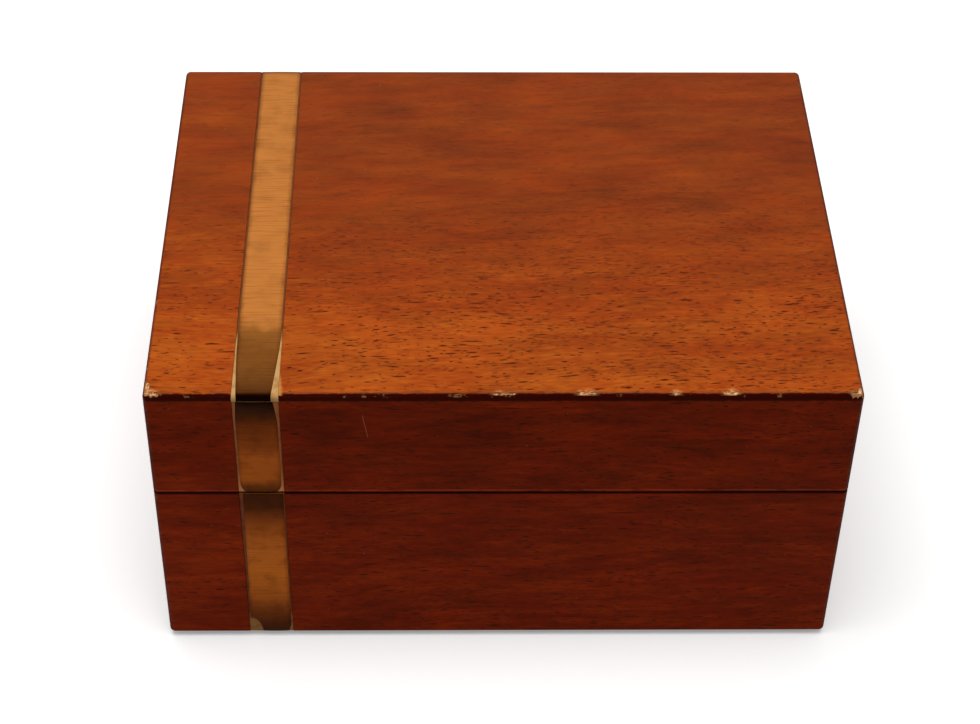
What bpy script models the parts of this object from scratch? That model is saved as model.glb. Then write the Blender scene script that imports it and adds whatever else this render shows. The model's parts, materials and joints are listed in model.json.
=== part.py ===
"""Wooden puzzle box: a veneered box with a hinged lid, a brass band inlaid round it, and a hidden lock.

The frame is +Z up and -Y to the front, with the origin at the bottom centre of the closed box.

The base and the lid are boards mitred at every corner. The lid turns on two butt hinges let into the back
walls. Their knuckles lie in a V groove, whose two bevels meet when the lid is open and so stop it.

The lock is inside the front walls. A brass tongue like an upside-down T hangs from the lid into a slot in
the base. Two headed steel pins slide in a bore that crosses the slot. When they lie over the tongue's toes
the lid can't rise, and spinning the box on a table throws both of them out at once.
"""

import math

import bmesh
import bpy
from mathutils import Matrix, Vector

MM = 0.001

# The closed box
WIDTH = 130 * MM
DEPTH = 100 * MM
WOOD_BOTTOM = 1 * MM
TOP = 66 * MM
SEAM = 41 * MM
SEAM_GAP = 0.4 * MM
WALL = 9 * MM
ARRIS_RADIUS = 1 * MM
GAP = 0.3 * MM

FRONT, BACK = -DEPTH / 2, DEPTH / 2
LEFT, RIGHT = -WIDTH / 2, WIDTH / 2
BASE_RIM = SEAM - SEAM_GAP / 2
LID_RIM = SEAM + SEAM_GAP / 2

# Bottom panel, in a rabbet round the foot of the walls
PANEL_THICKNESS = 5 * MM
RABBET = 5 * MM

# Brass band, let into the boards flush with their faces
BAND_FROM_LEFT = 16.2 * MM
BAND_WIDTH = 8 * MM
BAND_THICKNESS = 1.5 * MM
BAND_LEFT = LEFT + BAND_FROM_LEFT
BAND_RIGHT = BAND_LEFT + BAND_WIDTH

# Lining and felt
FELT_THICKNESS = 0.7 * MM
FELT_MARGIN = 2.5 * MM
CARD = 1.5 * MM
PAD = 2.5 * MM
CARD_BELOW_RIM = 1.2 * MM

# Hinges: the axis runs along X
AXIS_Y = BACK - 2 * MM
AXIS = Vector((0, AXIS_Y, SEAM))
BEVEL_CLEARANCE = 0.18 * MM
HINGE_X = 30 * MM
HINGE_LENGTH = 18 * MM
LEAF = 0.7 * MM
LEAF_INNER_Y = BACK - WALL + 0.4 * MM
KNUCKLE_RADIUS = 1.7 * MM
KNUCKLE_INSET = 0.1 * MM
MIDDLE_KNUCKLE = 6 * MM
KNUCKLE_BORE = 1.1 * MM
HINGE_PIN_RADIUS = 0.8 * MM
SCREW_Y = 43.6 * MM
SCREW_SPREAD = 5.8 * MM

# Screws: countersunk and slotted
HEAD_RADIUS = 1.2 * MM
SHANK_RADIUS = 0.6 * MM
HEAD_HEIGHT = 0.6 * MM
SCREW_LENGTH = 6 * MM
SLOT_WIDTH = 0.35 * MM
SLOT_DEPTH = 0.3 * MM
SCREW_CLEARANCE = 0.35 * MM
SLOT_TURN = math.radians(50)

# Lock, inside the front walls
LOCK_Y = FRONT + 4.8 * MM
TONGUE_THICKNESS = 1.6 * MM
SHANK_HALF = 3.5 * MM
TOE_HALF = 9 * MM
TONGUE_TOP = 52 * MM
TONGUE_FOOT = 28.6 * MM
TOE_HEIGHT = 3 * MM
SLOT_AHEAD = 1.1 * MM
SLOT_BEHIND = 0.4 * MM
SLOT_BESIDE = 0.6 * MM
SLOT_BELOW = 1.5 * MM
TONGUE_SCREW_Z = (45.5 * MM, 49.5 * MM)
TONGUE_SCREW_LENGTH = 7 * MM
LOCK_PIN_Z = 33.6 * MM
LOCK_PIN_RADIUS = 1.5 * MM
LOCK_HEAD_RADIUS = 2 * MM
LOCK_PIN_INNER_X = 11 * MM
LOCK_PIN_BODY = 18 * MM
LOCK_PIN_HEAD = 4 * MM
LOCK_TRAVEL = 7 * MM
DOWEL_OUTER_X = 57 * MM

ROUND_SEGMENTS = 28
SCREW_SEGMENTS = 18
ARRIS_SEGMENTS = 6
BEYOND = 10 * MM

# name: (colour, roughness, metallic)
MATERIALS = {
    "mahogany": ((0.30, 0.085, 0.025), 0.32, 0.0),
    "plywood": ((0.52, 0.34, 0.19), 0.65, 0.0),
    "hardwood": ((0.60, 0.42, 0.24), 0.60, 0.0),
    "brass": ((0.72, 0.47, 0.17), 0.18, 1.0),
    "steel": ((0.56, 0.56, 0.58), 0.30, 1.0),
    "felt": ((0.02, 0.06, 0.035), 0.95, 0.0),
}


def clear_scene():
    for obj in list(bpy.data.objects):
        bpy.data.objects.remove(obj, do_unlink=True)


def new_collection(name):
    collection = bpy.data.collections.new(name)
    bpy.context.scene.collection.children.link(collection)
    return collection


def material_for(part_name, kind):
    """A Principled material of this sub-part's own."""
    colour, roughness, metallic = MATERIALS[kind]
    material = bpy.data.materials.new(f"{kind}_{part_name}")
    material.use_nodes = True
    shader = material.node_tree.nodes["Principled BSDF"]
    shader.inputs["Base Color"].default_value = (*colour, 1)
    shader.inputs["Roughness"].default_value = roughness
    shader.inputs["Metallic"].default_value = metallic
    return material


def box_mesh(low, high):
    """A box between two opposite corners."""
    low, high = Vector(low), Vector(high)
    bm = bmesh.new()
    placed = Matrix.Translation((low + high) / 2) @ Matrix.Diagonal((*(high - low), 1))
    bmesh.ops.create_cube(bm, size=1, matrix=placed)
    return bm


def round_mesh(start, end, radius, end_radius=None, segments=ROUND_SEGMENTS):
    """A cylinder from start to end, or a cone where end_radius differs."""
    start, end = Vector(start), Vector(end)
    along = end - start
    turned = along.to_track_quat("Z", "Y").to_matrix().to_4x4()
    bm = bmesh.new()
    bmesh.ops.create_cone(
        bm,
        cap_ends=True,
        segments=segments,
        radius1=radius,
        radius2=radius if end_radius is None else end_radius,
        depth=along.length,
        matrix=Matrix.Translation((start + end) / 2) @ turned,
    )
    for face in bm.faces:
        face.smooth = len(face.verts) == 4
    return bm


def mitre(bm, corner, own_side, other_side):
    """Cuts a board's end at 45 degrees, where its face own_side meets a neighbour's face other_side."""
    normal = (Vector(other_side) - Vector(own_side)).normalized()
    found = bmesh.ops.bisect_plane(
        bm,
        geom=bm.verts[:] + bm.edges[:] + bm.faces[:],
        plane_co=Vector(corner) - normal * GAP / 2,
        plane_no=normal,
        clear_outer=True,
    )
    cut = [e for e in found["geom_cut"] if isinstance(e, bmesh.types.BMEdge)]
    bmesh.ops.edgeloop_fill(bm, edges=cut)
    bmesh.ops.recalc_face_normals(bm, faces=bm.faces[:])


class Builder:
    """Puts meshes in the scene as parts or as hidden cutters."""

    def __init__(self):
        self.parts = new_collection("puzzle_box")
        self.cutters = new_collection("cutters")
        self.lid_axis = bpy.data.objects.new("lid_axis", None)
        self.lid_axis.location = AXIS
        self.parts.objects.link(self.lid_axis)

    def place(self, name, bm, kind, origin=None, on_lid=False):
        """Makes a part from a mesh in the box's frame, with its origin at its middle or where stated."""
        corners = [v.co for v in bm.verts]
        low = Vector(min(c[k] for c in corners) for k in range(3))
        high = Vector(max(c[k] for c in corners) for k in range(3))
        origin = (low + high) / 2 if origin is None else Vector(origin)
        bmesh.ops.translate(bm, verts=bm.verts[:], vec=-origin)
        mesh = bpy.data.meshes.new(name)
        bm.to_mesh(mesh)
        bm.free()
        mesh.materials.append(material_for(name, kind))
        return self.add(name, mesh, origin, on_lid)

    def add(self, name, mesh, origin, on_lid=False):
        obj = bpy.data.objects.new(name, mesh)
        self.parts.objects.link(obj)
        if on_lid:
            obj.parent = self.lid_axis
            obj.location = Vector(origin) - AXIS
        else:
            obj.location = origin
        return obj

    def cutter(self, name, bm):
        """A hidden shape that other parts are cut by or joined with."""
        mesh = bpy.data.meshes.new(name)
        bm.to_mesh(mesh)
        bm.free()
        obj = bpy.data.objects.new(name, mesh)
        obj.hide_render = True
        obj.display_type = "WIRE"
        self.cutters.objects.link(obj)
        return obj


def combine(obj, operation, *others):
    for other in others:
        modifier = obj.modifiers.new(f"{operation.lower()}_{other.name}", "BOOLEAN")
        modifier.operation = operation
        modifier.object = other
        modifier.solver = "EXACT"


def carve(obj, *cutters):
    combine(obj, "DIFFERENCE", *cutters)


def make_envelope(build):
    """The closed box's outer form with its rounded arrises. Every board is trimmed to it."""
    bm = box_mesh((LEFT, FRONT, WOOD_BOTTOM), (RIGHT, BACK, TOP))
    envelope = build.cutter("envelope", bm)
    bevel = envelope.modifiers.new("arrises", "BEVEL")
    bevel.width = ARRIS_RADIUS
    bevel.segments = ARRIS_SEGMENTS
    return envelope


def make_shared_cutters(build):
    """The cuts that several boards share: the band's rebates, the V groove and the bottom's rabbet."""
    rebate_left, rebate_right = BAND_LEFT - GAP, BAND_RIGHT + GAP
    depth = BAND_THICKNESS + GAP
    groove_side = 8 * MM
    groove_apex = AXIS_Y - BEVEL_CLEARANCE * math.sqrt(2)
    groove = box_mesh(
        (LEFT - BEYOND, -groove_side / 2, -groove_side / 2),
        (RIGHT + BEYOND, groove_side / 2, groove_side / 2),
    )
    centre = Matrix.Translation((0, groove_apex + groove_side / math.sqrt(2), SEAM))
    on_its_corner = Matrix.Rotation(math.pi / 4, 4, "X")
    bmesh.ops.transform(groove, matrix=centre @ on_its_corner, verts=groove.verts[:])
    inner_x, inner_y = RIGHT - WALL + RABBET, BACK - WALL + RABBET
    return {
        "band_front": build.cutter(
            "band_front",
            box_mesh((rebate_left, FRONT - BEYOND, -BEYOND), (rebate_right, FRONT + depth, TOP + BEYOND)),
        ),
        "band_back": build.cutter(
            "band_back",
            box_mesh((rebate_left, BACK - depth, -BEYOND), (rebate_right, BACK + BEYOND, TOP + BEYOND)),
        ),
        "band_top": build.cutter(
            "band_top",
            box_mesh(
                (rebate_left, FRONT - BEYOND, TOP - depth),
                (rebate_right, BACK + BEYOND, TOP + BEYOND),
            ),
        ),
        "v_groove": build.cutter("v_groove", groove),
        "rabbet": build.cutter(
            "rabbet",
            box_mesh(
                (-inner_x, -inner_y, -BEYOND),
                (inner_x, inner_y, WOOD_BOTTOM + PANEL_THICKNESS + GAP),
            ),
        ),
    }


# Each upright board's outward direction, and the boards it meets
OUTWARD = {
    "front": Vector((0, -1, 0)),
    "back": Vector((0, 1, 0)),
    "left": Vector((-1, 0, 0)),
    "right": Vector((1, 0, 0)),
}
UP = Vector((0, 0, 1))
NEIGHBOURS = {
    "front": ("left", "right"),
    "back": ("left", "right"),
    "left": ("front", "back"),
    "right": ("front", "back"),
}


def corner_of(*sides):
    """A point on the sharp edge where these faces of the closed box meet."""
    point = Vector((0, 0, TOP))
    for side in sides:
        point.x += side.x * WIDTH / 2
        point.y += side.y * DEPTH / 2
    return point


def wall_mesh(side, low_z, high_z, meets_top):
    """An upright board, oversize outside, with mitred ends, and a mitred top if it meets the lid's panel."""
    out = OUTWARD[side]
    half = Vector((WIDTH / 2 + BEYOND, DEPTH / 2 + BEYOND, 0))
    low = Vector((-half.x, -half.y, low_z))
    high = Vector((half.x, half.y, high_z))
    if side == "front":
        high.y = FRONT + WALL
    elif side == "back":
        low.y = BACK - WALL
    elif side == "left":
        high.x = LEFT + WALL
    else:
        low.x = RIGHT - WALL
    bm = box_mesh(low, high)
    for name in NEIGHBOURS[side]:
        mitre(bm, corner_of(out, OUTWARD[name]), out, OUTWARD[name])
    if meets_top:
        mitre(bm, corner_of(out), out, UP)
    return bm


def make_base_boards(build, envelope, shared):
    walls = {}
    for side in OUTWARD:
        bm = wall_mesh(side, WOOD_BOTTOM - BEYOND, BASE_RIM, meets_top=False)
        wall = build.place(f"base_{side}_wall", bm, "mahogany")
        combine(wall, "INTERSECT", envelope)
        carve(wall, shared["rabbet"])
        if side != "front":
            carve(wall, shared["v_groove"])
        walls[side] = wall
    carve(walls["front"], shared["band_front"])
    carve(walls["back"], shared["band_back"])
    panel_x, panel_y = RIGHT - WALL + RABBET - GAP, BACK - WALL + RABBET - GAP
    build.place(
        "bottom_panel",
        box_mesh((-panel_x, -panel_y, WOOD_BOTTOM), (panel_x, panel_y, WOOD_BOTTOM + PANEL_THICKNESS)),
        "plywood",
    )
    return walls


def make_lid_boards(build, envelope, shared):
    walls = {}
    for side in OUTWARD:
        bm = wall_mesh(side, LID_RIM, TOP + BEYOND, meets_top=True)
        wall = build.place(f"lid_{side}_wall", bm, "mahogany", on_lid=True)
        combine(wall, "INTERSECT", envelope)
        if side != "front":
            carve(wall, shared["v_groove"])
        walls[side] = wall
    carve(walls["front"], shared["band_front"], shared["band_top"])
    carve(walls["back"], shared["band_back"], shared["band_top"])
    bm = box_mesh(
        (LEFT - BEYOND, FRONT - BEYOND, TOP - WALL),
        (RIGHT + BEYOND, BACK + BEYOND, TOP + BEYOND),
    )
    for out in OUTWARD.values():
        mitre(bm, corner_of(out), UP, out)
    panel = build.place("lid_top_panel", bm, "mahogany", on_lid=True)
    combine(panel, "INTERSECT", envelope)
    carve(panel, shared["band_front"], shared["band_back"], shared["band_top"])
    return walls


def make_bands(build, envelope, shared):
    """Strips trimmed to the envelope. The top one runs over the ends of the upright ones."""
    top_under = TOP - BAND_THICKNESS
    strips = {
        "lid_top_band": ((FRONT - BEYOND, top_under), (BACK + BEYOND, TOP + BEYOND)),
        "lid_front_band": ((FRONT - BEYOND, LID_RIM), (FRONT + BAND_THICKNESS, top_under - GAP)),
        "lid_back_band": ((BACK - BAND_THICKNESS, LID_RIM), (BACK + BEYOND, top_under - GAP)),
        "base_front_band": ((FRONT - BEYOND, WOOD_BOTTOM), (FRONT + BAND_THICKNESS, BASE_RIM)),
        "base_back_band": ((BACK - BAND_THICKNESS, WOOD_BOTTOM), (BACK + BEYOND, BASE_RIM)),
    }
    for name, ((near_y, low_z), (far_y, high_z)) in strips.items():
        bm = box_mesh((BAND_LEFT, near_y, low_z), (BAND_RIGHT, far_y, high_z))
        strip = build.place(name, bm, "brass", on_lid=name.startswith("lid"))
        combine(strip, "INTERSECT", envelope)
        if "back" in name:
            carve(strip, shared["v_groove"])


def make_lining(build, where, low_z, high_z, pad_low, pad_high, on_lid):
    """Four cards round the walls and a pad between them."""
    x, y = RIGHT - WALL - GAP, BACK - WALL - GAP
    inner_x, inner_y = x - CARD, y - CARD
    cards = {
        "front": ((-x, -y, low_z), (x, -inner_y, high_z)),
        "back": ((-x, inner_y, low_z), (x, y, high_z)),
        "left": ((-x, -inner_y + GAP, low_z), (-inner_x, inner_y - GAP, high_z)),
        "right": ((inner_x, -inner_y + GAP, low_z), (x, inner_y - GAP, high_z)),
    }
    for side, (low, high) in cards.items():
        build.place(f"{where}_{side}_lining", box_mesh(low, high), "felt", on_lid=on_lid)
    pad_x, pad_y = inner_x - GAP, inner_y - GAP
    pad = box_mesh((-pad_x, -pad_y, pad_low), (pad_x, pad_y, pad_high))
    build.place(f"{where}_pad", pad, "felt", on_lid=on_lid)


def make_linings(build):
    floor = WOOD_BOTTOM + PANEL_THICKNESS + GAP
    ceiling = TOP - WALL - GAP
    make_lining(build, "base", floor, BASE_RIM - CARD_BELOW_RIM, floor, floor + PAD, False)
    make_lining(build, "lid", LID_RIM + CARD_BELOW_RIM, ceiling, ceiling - PAD, ceiling, True)
    felt_x, felt_y = RIGHT - FELT_MARGIN, BACK - FELT_MARGIN
    build.place("base_felt", box_mesh((-felt_x, -felt_y, 0), (felt_x, felt_y, FELT_THICKNESS)), "felt")


def screw_mesh(build, name, length, kind):
    """A countersunk slotted screw that points down -Z, with its head's top at the origin."""
    profile = [
        (0, 0),
        (HEAD_RADIUS, 0),
        (SHANK_RADIUS, -HEAD_HEIGHT),
        (SHANK_RADIUS, -length + SHANK_RADIUS * 2),
        (0, -length),
    ]
    mesh = bpy.data.meshes.new(name)
    mesh.from_pydata([(x, 0, z) for x, z in profile], [(i, i + 1) for i in range(len(profile) - 1)], [])
    turned = bpy.data.objects.new(name, mesh)
    turned.hide_render = True
    build.cutters.objects.link(turned)
    screw = turned.modifiers.new("turn", "SCREW")
    screw.steps = screw.render_steps = SCREW_SEGMENTS
    screw.use_merge_vertices = True
    screw.merge_threshold = 0.00001
    slot_end = Vector((HEAD_RADIUS * 2, SLOT_WIDTH / 2, SLOT_DEPTH))
    carve(turned, build.cutter(f"{name}_slot", box_mesh(-slot_end, slot_end)))
    bpy.context.view_layer.update()
    evaluated = turned.evaluated_get(bpy.context.evaluated_depsgraph_get())
    solid = bpy.data.meshes.new_from_object(evaluated)
    solid.shade_smooth()
    solid.set_sharp_from_angle(angle=math.radians(40))
    solid.materials.clear()
    solid.materials.append(material_for(name, kind))
    bpy.data.objects.remove(turned)
    return solid


def screw_hole(build, name, start, direction, length):
    """A cutter for one screw: a pilot hole, and a countersink at its mouth."""
    start, direction = Vector(start), Vector(direction)
    hole = build.cutter(
        name,
        round_mesh(
            start - direction * BEYOND,
            start + direction * (length + GAP),
            SHANK_RADIUS + SCREW_CLEARANCE,
            segments=SCREW_SEGMENTS,
        ),
    )
    mouth = build.cutter(
        f"{name}_mouth",
        round_mesh(
            start - direction * GAP,
            start + direction * HEAD_HEIGHT,
            HEAD_RADIUS + SCREW_CLEARANCE + GAP,
            SHANK_RADIUS + SCREW_CLEARANCE,
            segments=SCREW_SEGMENTS,
        ),
    )
    return hole, mouth


def make_leaf(build, name, centre_x, knuckles, notches, bore, on_lid):
    """One hinge leaf: a plate notched for the other leaf's knuckles, with its own knuckles round the pin."""
    low_z = LID_RIM if on_lid else BASE_RIM - LEAF
    half = HINGE_LENGTH / 2
    leaf = build.place(
        name,
        box_mesh((centre_x - half, LEAF_INNER_Y, low_z), (centre_x + half, AXIS_Y, low_z + LEAF)),
        "brass",
        on_lid=on_lid,
    )
    notch_y = AXIS_Y - KNUCKLE_RADIUS - GAP
    for number, (start, end) in enumerate(notches, 1):
        notch = box_mesh((start, notch_y, BASE_RIM - BEYOND), (end, BACK + BEYOND, LID_RIM + BEYOND))
        carve(leaf, build.cutter(f"{name}_notch_{number}", notch))
    for number, (start, end) in enumerate(knuckles, 1):
        ends = (start + KNUCKLE_INSET, AXIS_Y, SEAM), (end - KNUCKLE_INSET, AXIS_Y, SEAM)
        knuckle = build.cutter(f"{name}_knuckle_{number}", round_mesh(*ends, KNUCKLE_RADIUS))
        combine(leaf, "UNION", knuckle)
    carve(leaf, bore)
    return leaf


def make_hinge(build, side, centre_x, screw, walls):
    """A butt hinge: the base leaf has the two outer knuckles and the lid leaf the middle one."""
    half = HINGE_LENGTH / 2
    first, last = centre_x - half, centre_x + half
    inner_first = centre_x - MIDDLE_KNUCKLE / 2
    inner_last = centre_x + MIDDLE_KNUCKLE / 2
    outer = [(first, inner_first - GAP / 2), (inner_last + GAP / 2, last)]
    middle = [(inner_first + GAP / 2, inner_last - GAP / 2)]
    beside_outer = [(first - BEYOND, inner_first + GAP / 2), (inner_last - GAP / 2, last + BEYOND)]
    beside_middle = [(inner_first - GAP / 2, inner_last + GAP / 2)]
    name = f"{side}_hinge"
    bore = build.cutter(
        f"{name}_bore",
        round_mesh((first - BEYOND, AXIS_Y, SEAM), (last + BEYOND, AXIS_Y, SEAM), KNUCKLE_BORE),
    )
    base_leaf = make_leaf(build, f"{name}_base_leaf", centre_x, outer, beside_middle, bore, on_lid=False)
    lid_leaf = make_leaf(build, f"{name}_lid_leaf", centre_x, middle, beside_outer, bore, on_lid=True)
    build.place(
        f"{name}_pin",
        round_mesh((first, AXIS_Y, SEAM), (last, AXIS_Y, SEAM), HINGE_PIN_RADIUS),
        "brass",
    )
    mortise = build.cutter(
        f"{name}_mortise",
        box_mesh(
            (first - GAP, LEAF_INNER_Y - GAP, BASE_RIM - LEAF - GAP),
            (last + GAP, AXIS_Y, LID_RIM + LEAF + GAP),
        ),
    )
    trough = build.cutter(
        f"{name}_trough",
        round_mesh((first - GAP, AXIS_Y, SEAM), (last + GAP, AXIS_Y, SEAM), KNUCKLE_RADIUS + GAP),
    )
    for part, leaf, rim, turn in (("base", base_leaf, BASE_RIM, 0), ("lid", lid_leaf, LID_RIM, math.pi)):
        carve(walls[part], mortise, trough)
        into_wood = Vector((0, 0, -1 if part == "base" else 1))
        for number, x in enumerate((centre_x - SCREW_SPREAD, centre_x + SCREW_SPREAD), 1):
            start = Vector((x, SCREW_Y, rim))
            screw_name = f"{name}_{part}_screw_{number}"
            hole, mouth = screw_hole(build, f"{screw_name}_hole", start, into_wood, SCREW_LENGTH)
            carve(leaf, hole, mouth)
            carve(walls[part], hole)
            placed = build.add(screw_name, screw, start, on_lid=part == "lid")
            placed.rotation_euler = (turn, 0, number * SLOT_TURN)


def make_tongue(build, lid_front, base_front):
    """The lid's upside-down T, its mortise and slot, and the two screws that hold it from inside."""
    near, far = LOCK_Y - TONGUE_THICKNESS / 2, LOCK_Y + TONGUE_THICKNESS / 2
    toe_top = TONGUE_FOOT + TOE_HEIGHT
    tongue = build.place(
        "lock_tongue",
        box_mesh((-SHANK_HALF, near, TONGUE_FOOT), (SHANK_HALF, far, TONGUE_TOP)),
        "brass",
        on_lid=True,
    )
    toes = build.cutter("tongue_toes", box_mesh((-TOE_HALF, near, TONGUE_FOOT), (TOE_HALF, far, toe_top)))
    combine(tongue, "UNION", toes)
    mortise = build.cutter(
        "tongue_mortise",
        box_mesh((-SHANK_HALF - GAP, near - GAP, SEAM), (SHANK_HALF + GAP, far + GAP, TONGUE_TOP + GAP)),
    )
    carve(lid_front, mortise)
    slot = build.cutter(
        "tongue_slot",
        box_mesh(
            (-TOE_HALF - SLOT_BESIDE, near - SLOT_AHEAD, TONGUE_FOOT - SLOT_BELOW),
            (TOE_HALF + SLOT_BESIDE, far + SLOT_BEHIND, SEAM),
        ),
    )
    carve(base_front, slot)
    screw = screw_mesh(build, "tongue_screw", TONGUE_SCREW_LENGTH, "brass")
    inner_face = FRONT + WALL
    for number, z in enumerate(TONGUE_SCREW_Z, 1):
        start = Vector((0, inner_face, z))
        name = f"lock_tongue_screw_{number}"
        hole, mouth = screw_hole(build, f"{name}_hole", start, (0, -1, 0), TONGUE_SCREW_LENGTH)
        carve(lid_front, hole, mouth)
        carve(tongue, hole)
        placed = build.add(name, screw, start, on_lid=True)
        placed.rotation_euler = (-math.pi / 2, 0, 0)


def make_lock_pin(build, side, sign, base_front):
    """A headed pin in its stepped bore, and the dowel that closes the bore behind it."""

    def at(x):
        return Vector((sign * x, LOCK_Y, LOCK_PIN_Z))

    head_x = LOCK_PIN_INNER_X + LOCK_PIN_BODY
    outer_x = head_x + LOCK_PIN_HEAD
    pin = build.place(
        f"lock_pin_{side}",
        round_mesh(at(LOCK_PIN_INNER_X), at(head_x + GAP), LOCK_PIN_RADIUS),
        "steel",
        origin=at(head_x),
    )
    head = build.cutter(f"lock_pin_{side}_head", round_mesh(at(head_x), at(outer_x), LOCK_HEAD_RADIUS))
    combine(pin, "UNION", head)
    shoulder_x = head_x - LOCK_TRAVEL - GAP
    counterbore = build.cutter(
        f"lock_counterbore_{side}",
        round_mesh(at(shoulder_x), at(RIGHT + BEYOND), LOCK_HEAD_RADIUS + GAP),
    )
    carve(base_front, counterbore)
    build.place(
        f"lock_dowel_{side}",
        round_mesh(at(outer_x + GAP), at(DOWEL_OUTER_X), LOCK_HEAD_RADIUS),
        "hardwood",
    )


def make_lock(build, lid_front, base_front):
    make_tongue(build, lid_front, base_front)
    across = LOCK_PIN_INNER_X + LOCK_PIN_BODY
    bore = build.cutter(
        "lock_bore",
        round_mesh((-across, LOCK_Y, LOCK_PIN_Z), (across, LOCK_Y, LOCK_PIN_Z), LOCK_PIN_RADIUS + GAP),
    )
    carve(base_front, bore)
    make_lock_pin(build, "left", -1, base_front)
    make_lock_pin(build, "right", 1, base_front)


def main():
    clear_scene()
    build = Builder()
    envelope = make_envelope(build)
    shared = make_shared_cutters(build)
    base = make_base_boards(build, envelope, shared)
    lid = make_lid_boards(build, envelope, shared)
    make_bands(build, envelope, shared)
    make_linings(build)
    screw = screw_mesh(build, "hinge_screw", SCREW_LENGTH, "brass")
    back_walls = {"base": base["back"], "lid": lid["back"]}
    make_hinge(build, "left", -HINGE_X, screw, back_walls)
    make_hinge(build, "right", HINGE_X, screw, back_walls)
    make_lock(build, lid["front"], base["front"])


main()
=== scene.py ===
"""The looks of the wooden puzzle box: lacquered mahogany veneer, a patinated brass band, and a velvet lining.

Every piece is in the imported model's frame: metres, +Z up, -Y to the front, the origin under the box's middle.
"""

import json
import math
import random

import bmesh
import bpy
from mathutils import Matrix, Vector, noise


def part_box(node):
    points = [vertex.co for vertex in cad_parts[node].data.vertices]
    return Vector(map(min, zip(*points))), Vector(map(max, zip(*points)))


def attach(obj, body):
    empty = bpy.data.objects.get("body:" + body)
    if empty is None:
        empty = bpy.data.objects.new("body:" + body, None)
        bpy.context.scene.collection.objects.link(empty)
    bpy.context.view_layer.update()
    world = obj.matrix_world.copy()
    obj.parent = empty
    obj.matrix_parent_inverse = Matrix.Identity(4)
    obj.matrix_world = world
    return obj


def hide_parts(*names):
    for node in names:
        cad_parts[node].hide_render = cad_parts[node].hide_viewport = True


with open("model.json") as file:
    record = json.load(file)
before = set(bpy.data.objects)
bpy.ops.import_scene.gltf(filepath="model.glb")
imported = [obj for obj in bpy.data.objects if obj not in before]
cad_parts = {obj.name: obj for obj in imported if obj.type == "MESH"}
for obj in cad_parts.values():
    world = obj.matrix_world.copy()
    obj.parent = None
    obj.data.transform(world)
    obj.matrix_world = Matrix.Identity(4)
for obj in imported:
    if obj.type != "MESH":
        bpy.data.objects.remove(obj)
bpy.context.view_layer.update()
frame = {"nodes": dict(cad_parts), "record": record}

MM = 0.001
NODES = frame["nodes"]

# The box's own faces, from the frame
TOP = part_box("lid_top_panel")[1].z
WOOD_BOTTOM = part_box("base_front_wall")[0].z
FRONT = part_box("base_front_wall")[0].y
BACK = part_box("base_back_wall")[1].y
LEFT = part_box("base_left_wall")[0].x
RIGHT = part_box("base_right_wall")[1].x
BASE_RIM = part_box("base_front_wall")[1].z
LID_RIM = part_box("lid_front_wall")[0].z
SEAM = (BASE_RIM + LID_RIM) / 2
CENTRE = Vector(((LEFT + RIGHT) / 2, (FRONT + BACK) / 2, (WOOD_BOTTOM + TOP) / 2))
HALF = Vector((RIGHT - LEFT, BACK - FRONT, TOP - WOOD_BOTTOM)) / 2
BAND_LEFT, BAND_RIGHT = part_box("lid_top_band")[0].x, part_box("lid_top_band")[1].x
BAND_MIDDLE = (BAND_LEFT + BAND_RIGHT) / 2
# The boards' arris radius and mitre gap in the CAD, and the gap and the rim's rounding that they get here
ARRIS = 1 * MM
MITRE_GAP = 0.3 * MM
HAIRLINE = 0.03 * MM
RIM_ROUNDING = 0.3 * MM
# How far the V groove that the hinges lie in reaches above and below the seam
GROOVE_REACH = 2.26 * MM


# ---------------------------------------------------------------- camera, light and floor

CAMERA_PLACE = Vector((-12.66, -342.11, 344.5)) * MM
CAMERA_YAW = math.radians(1.056)
CAMERA_PITCH = math.radians(42.599)
CAMERA_ROLL = math.radians(0.673)
CAMERA_LENS = 82.66
CAMERA_SHIFT = (0.0263, -0.0069)
# Softboxes: place, the point they face, and size, in metres
OVERHEAD = ((-0.05, -0.10, 0.85), (0, 0, 0.05), (0.8, 0.6))
BEHIND = ((0, 0.95, 0.90), (0, 0, 0.05), (1.3, 0.6))
WARM_WHITE = (1, 0.97, 0.93)
ROOM_COLOUR = (1, 0.98, 0.95, 1)
ROOM_STRENGTH = 0.3
FLOOR_HALF_SIZE = 3.0


def make_camera():
    data = bpy.data.cameras.new("camera")
    data.lens = CAMERA_LENS
    data.shift_x, data.shift_y = CAMERA_SHIFT
    data.clip_start = 0.01
    camera = bpy.data.objects.new("camera", data)
    turned = (
        Matrix.Rotation(-CAMERA_YAW, 4, "Z")
        @ Matrix.Rotation(-CAMERA_PITCH, 4, "X")
        @ Matrix.Rotation(-CAMERA_ROLL, 4, "Y")
        @ Matrix.Rotation(math.pi / 2, 4, "X")
    )
    camera.matrix_world = Matrix.Translation(CAMERA_PLACE) @ turned
    bpy.context.scene.collection.objects.link(camera)
    bpy.context.scene.camera = camera


def make_softbox(name, place, aim, size, watts, colour=(1, 1, 1), in_reflections=True):
    data = bpy.data.lights.new(name, "AREA")
    data.shape = "RECTANGLE"
    data.size, data.size_y = size
    data.energy = watts
    data.color = colour
    light = bpy.data.objects.new(name, data)
    light.location = place
    light.rotation_euler = (Vector(aim) - Vector(place)).to_track_quat("-Z", "Y").to_euler()
    light.visible_glossy = in_reflections
    bpy.context.scene.collection.objects.link(light)


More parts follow.
